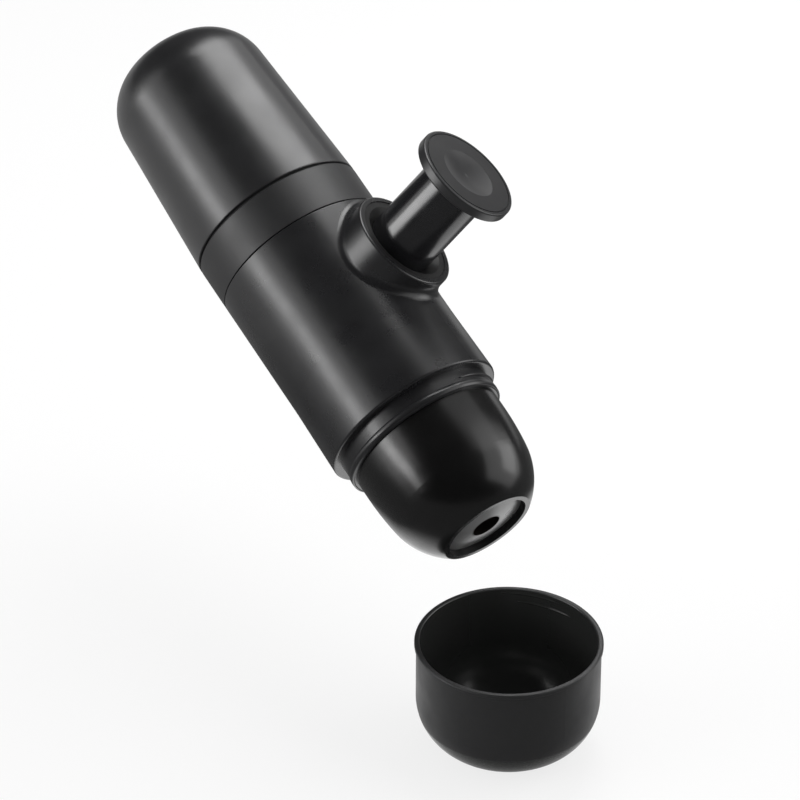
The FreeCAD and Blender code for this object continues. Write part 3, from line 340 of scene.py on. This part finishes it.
def ridge(name, body, material, place, radius, height, width, low, lead=0.0, starts=1,
          sweep=math.tau, first_angle=0.0, inward=False, crest=0.6):
    """Ridges on a round wall: a closed ring, or right-handed threads that fade at their ends."""
    mesh = bmesh.new()
    section = ridge_section(width, height, crest)
    closed = lead == 0.0
    steps = round(sweep / RIDGE_STEP)
    for start in range(starts):
        rows = []
        for step in range(steps + (0 if closed else 1)):
            turned = sweep * step / steps
            faded = 1.0 if closed else min(min(turned, sweep - turned) / RIDGE_FADE, 1.0)
            rows.append(ridge_row(mesh, place, section, radius,
                                  first_angle + math.tau * start / starts + turned,
                                  low + lead * turned / math.tau,
                                  math.sin(faded * math.pi / 2), -1 if inward else 1))
        following = rows[1:] + rows[:1] if closed else rows[1:]
        for here, there in zip(rows, following):
            for corner in range(len(here)):
                after = (corner + 1) % len(here)
                mesh.faces.new((here[corner], here[after], there[after], there[corner]))
        if not closed:
            mesh.faces.new(rows[0])
            mesh.faces.new(rows[-1])
    bmesh.ops.recalc_face_normals(mesh, faces=mesh.faces)
    data = bpy.data.meshes.new(name)
    mesh.to_mesh(data)
    mesh.free()
    data.shade_smooth()
    data.materials.append(material)
    piece = bpy.data.objects.new(name, data)
    bpy.context.collection.objects.link(piece)
    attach(piece, body)


# The neck's bead and thread, and the two short lengths of thread inside the cup's rim.
NECK_RADIUS = 27.5 * MM
NECK_END = -54.2 * MM
BEAD_WIDTH = 2.5 * MM
BEAD_GAP = 0.1 * MM
CAP_LEAD = 4.5 * MM
CUP_PLACE = Matrix.Translation(Vector((CUP_AXIS.x, CUP_AXIS.y, CUP_RIM)))
CUP_RIDGE = {"lead": CAP_LEAD, "sweep": math.radians(40), "inward": True}

ridge("neck_bead", "main", satin_black, MAKER, NECK_RADIUS, height=0.45 * MM,
      width=BEAD_WIDTH, low=NECK_END + BEAD_WIDTH / 2 + BEAD_GAP, crest=0.84)
ridge("neck_thread", "main", satin_black, MAKER, NECK_RADIUS, height=0.7 * MM,
      width=1.1 * MM, low=-50.2 * MM, lead=CAP_LEAD, sweep=math.radians(180),
      first_angle=math.radians(-15))
ridge("cup_thread", "cup", cup_black, CUP_PLACE, CUP_INNER, height=0.45 * MM,
      width=1.1 * MM, low=-5.2 * MM, first_angle=math.radians(98), **CUP_RIDGE)
ridge("cup_thread_end", "cup", cup_black, CUP_PLACE, CUP_INNER, height=0.3 * MM,
      width=0.9 * MM, low=-2.0 * MM, first_angle=math.radians(108), **CUP_RIDGE)

# The four-start threads of the tank and of the outlet head, each with the wall that it turns in.
COLLAR_TOP = 37.1 * MM
COLLAR_THREAD_RADIUS = 27.0 * MM
TANK_MOUTH_RADIUS = 27.3 * MM
SPIGOT_RADIUS = 25.0 * MM
HEAD_BORE = 25.3 * MM
SCREW = {"height": 0.25 * MM, "width": 1.4 * MM, "lead": 18 * MM, "starts": 4}
HALF_PITCH = math.tau / SCREW["starts"] / 2
TANK_SCREW = {"low": COLLAR_TOP + 1.6 * MM, "sweep": math.radians(120), **SCREW}
HEAD_SCREW = {"low": NECK_END + 1.2 * MM, "sweep": math.radians(140), **SCREW}

ridge("collar_thread", "main", collar_black, MAKER, COLLAR_THREAD_RADIUS, **TANK_SCREW)
ridge("tank_thread", "tank", tank_black, MAKER, TANK_MOUTH_RADIUS, first_angle=HALF_PITCH,
      inward=True, **TANK_SCREW)
ridge("head_thread", "outlet", head_black, MAKER, SPIGOT_RADIUS, **HEAD_SCREW)
ridge("neck_inner_thread", "main", satin_black, MAKER, HEAD_BORE, first_angle=HALF_PITCH,
      inward=True, **HEAD_SCREW)


# ------------------------------------------------------------------------------------- springs

def giving_spring(name):
    """A copy of a CAD spring, hung on the main body in place of the CAD spring, which is hidden.
    """
    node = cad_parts[name]
    coil = bpy.data.objects.new(f"{name}_coil", node.data.copy())
    bpy.context.collection.objects.link(coil)
    coil.matrix_world = node.matrix_world
    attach(coil, "main")
    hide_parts(name)
    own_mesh(coil)


giving_spring("return_spring")
giving_spring("inlet_spring")
giving_spring("outlet_spring")


# -------------------------------------------------------------------------------------- camera

CAMERA_PLACE = Vector((1.22759, -0.88647, 0.94827))
CAMERA_AZIMUTH = math.radians(53.407)
CAMERA_ELEVATION = math.radians(32.995)
CAMERA_ROLL = math.radians(0.236)
CAMERA_SIDE = Vector((CAMERA_PLACE.x, CAMERA_PLACE.y, 0)).normalized()

camera_data = bpy.data.cameras.new("camera")
camera_data.sensor_width = 36.0
camera_data.lens = 247.55
camera_data.clip_end = 20.0
camera = bpy.data.objects.new("camera", camera_data)
bpy.context.collection.objects.link(camera)
camera.matrix_world = (Matrix.Translation(CAMERA_PLACE)
                       @ Matrix.Rotation(CAMERA_AZIMUTH, 4, "Z")
                       @ Matrix.Rotation(math.pi / 2 - CAMERA_ELEVATION, 4, "X")
                       @ Matrix.Rotation(CAMERA_ROLL, 4, "Z"))
bpy.context.scene.camera = camera


# --------------------------------------------------------------------------------------- floor

FLOOR_HALF = 4.0
FLOOR_GAP = 0.05 * MM

# Levels of the floor's glow as gloss mirrors it, and the stretches over which they change: across
# X on the left of the maker, out from the middle of a pool of light, and towards the camera. The
# dim floor near the maker is painted shadow and the pool is a painted pool of light, both seen
# only in reflections.
LEFT_LEVELS = (0.55, 0.13)
LEFT_EDGE = (-230 * MM, -110 * MM)
POOL_LEVEL = 1.25
POOL_CENTRE = Vector((CUP_AXIS.x - 12 * MM, CUP_AXIS.y + 33 * MM, 0))
POOL_EDGE = (80 * MM, 120 * MM)
FRONT_EDGE = (-20 * MM, 30 * MM)


def mirrored_floor(tree, place):
    """What gloss sees of the floor: painted shadow that dims it near the maker, and painted light
    that makes it paler far left and behind the cup.
    """
    parts = tree.nodes.new("ShaderNodeSeparateXYZ")
    tree.links.new(place, parts.inputs["Vector"])
    left = spread(tree, parts.outputs["X"], *LEFT_LEVELS, source=LEFT_EDGE)
    reach = vector_math(tree, "LENGTH", vector_math(tree, "SUBTRACT", place, POOL_CENTRE))
    pool = spread(tree, reach, POOL_LEVEL, 0.0, source=POOL_EDGE)
    from_cup = vector_math(tree, "SUBTRACT", place, (CUP_AXIS.x, CUP_AXIS.y, 0))
    front = vector_math(tree, "DOT_PRODUCT", from_cup, CAMERA_SIDE)
    behind = spread(tree, front, 1.0, 0.0, source=FRONT_EDGE)
    return multiply_add(tree, pool, behind, left)


def floor_finish(shadow_share):
    """Pale floor: to the camera mostly plain white, with the object's soft shadow kept."""
    material = bpy.data.materials.new("pale_floor")
    material.use_nodes = True
    tree = material.node_tree
    tree.nodes.clear()
    output = tree.nodes.new("ShaderNodeOutputMaterial")
    ray = tree.nodes.new("ShaderNodeLightPath")
    place = tree.nodes.new("ShaderNodeTexCoord")
    matte = tree.nodes.new("ShaderNodeBsdfDiffuse")
    matte.inputs["Color"].default_value = (0.92, 0.92, 0.92, 1)
    glow = tree.nodes.new("ShaderNodeEmission")
    mirrored = mirrored_floor(tree, place.outputs["Object"])
    tree.links.new(blend(tree, ray.outputs["Is Glossy Ray"], 1.0, mirrored),
                   glow.inputs["Strength"])
    glow_share = multiply_add(tree, ray.outputs["Is Camera Ray"], 1 - shadow_share,
                              ray.outputs["Is Glossy Ray"])
    mix = tree.nodes.new("ShaderNodeMixShader")
    tree.links.new(glow_share, mix.inputs["Fac"])
    tree.links.new(matte.outputs["BSDF"], mix.inputs[1])
    tree.links.new(glow.outputs["Emission"], mix.inputs[2])
    tree.links.new(mix.outputs["Shader"], output.inputs["Surface"])
    return material


floor_data = bpy.data.meshes.new("floor")
floor_data.from_pydata([(-FLOOR_HALF, -FLOOR_HALF, 0), (FLOOR_HALF, -FLOOR_HALF, 0),
                        (FLOOR_HALF, FLOOR_HALF, 0), (-FLOOR_HALF, FLOOR_HALF, 0)],
                       [], [(0, 1, 2, 3)])
floor_data.materials.append(floor_finish(shadow_share=0.22))
floor = bpy.data.objects.new("floor", floor_data)
floor.location.z = cad_box[0].z - FLOOR_GAP
bpy.context.collection.objects.link(floor)


# --------------------------------------------------------------------------------------- light

DARK_SIDE = (0.67, -0.50, 0.55)
DARK_EDGE = (-0.55, 0.25)


def studio_world(dark, bright, fill):
    """White to the camera, plain fill light, and a studio that is darker on one side to gloss."""
    world = bpy.data.worlds.new("studio")
    bpy.context.scene.world = world
    world.use_nodes = True
    tree = world.node_tree
    background = tree.nodes["Background"]
    background.inputs["Color"].default_value = (1, 1, 1, 1)
    ray = tree.nodes.new("ShaderNodeLightPath")
    place = tree.nodes.new("ShaderNodeTexCoord")
    side = vector_math(tree, "DOT_PRODUCT", place.outputs["Generated"], DARK_SIDE)
    mirrored = spread(tree, side, bright, dark, source=DARK_EDGE)
    lit = blend(tree, ray.outputs["Is Glossy Ray"], fill, mirrored)
    tree.links.new(blend(tree, ray.outputs["Is Camera Ray"], lit, 1.0),
                   background.inputs["Strength"])


def softbox(name, direction, distance, width, height, level, lean=0.0):
    """A rectangular lamp that faces the maker, its height in line with the barrel.

    A lean in radians tips its top towards the piston's far side.
    """
    data = bpy.data.lights.new(name, "AREA")
    data.shape = "RECTANGLE"
    data.size = width
    data.size_y = height
    data.energy = level * math.pi * width * height
    lamp = bpy.data.objects.new(name, data)
    bpy.context.collection.objects.link(lamp)
    back = direction.normalized()
    side = BARREL_AXIS.cross(back).normalized()
    up = back.cross(side)
    turn = Matrix((side, up, back)).transposed().to_4x4() @ Matrix.Rotation(lean, 4, "Z")
    lamp.matrix_world = Matrix.Translation(back * distance) @ turn


studio_world(dark=0.01, bright=0.05, fill=0.45)

# Two lamps on the barrel's left, two above it, two behind the maker and one for the knob's face.
softbox("left_strip", towards((-0.377, -0.847, 0.375)), distance=1.5,
        width=0.33, height=1.05, level=4.8, lean=math.radians(30))
softbox("left_wide", towards((-0.30, -0.80, 0.52)), distance=1.6,
        width=1.36, height=1.30, level=1.10)
softbox("tank_softbox", towards((0.76, 0.09, 0.63)), distance=0.50,
        width=0.35, height=0.26, level=4.7)
softbox("top_softbox", towards((0.914, 0.164, 0.371)), distance=1.5,
        width=1.25, height=1.3, level=0.4)
softbox("back_softbox", Vector((0.41, 0.87, 0.27)), distance=0.9,
        width=0.38, height=0.50, level=1.5)
softbox("back_wide", Vector((0.52, 0.76, 0.36)), distance=0.95,
        width=1.10, height=1.00, level=0.95)
softbox("knob_softbox", Vector((-0.28, 0.53, 0.28)), distance=0.66,
        width=0.30, height=0.25, level=0.9)

bpy.context.scene.view_settings.view_transform = "Standard"
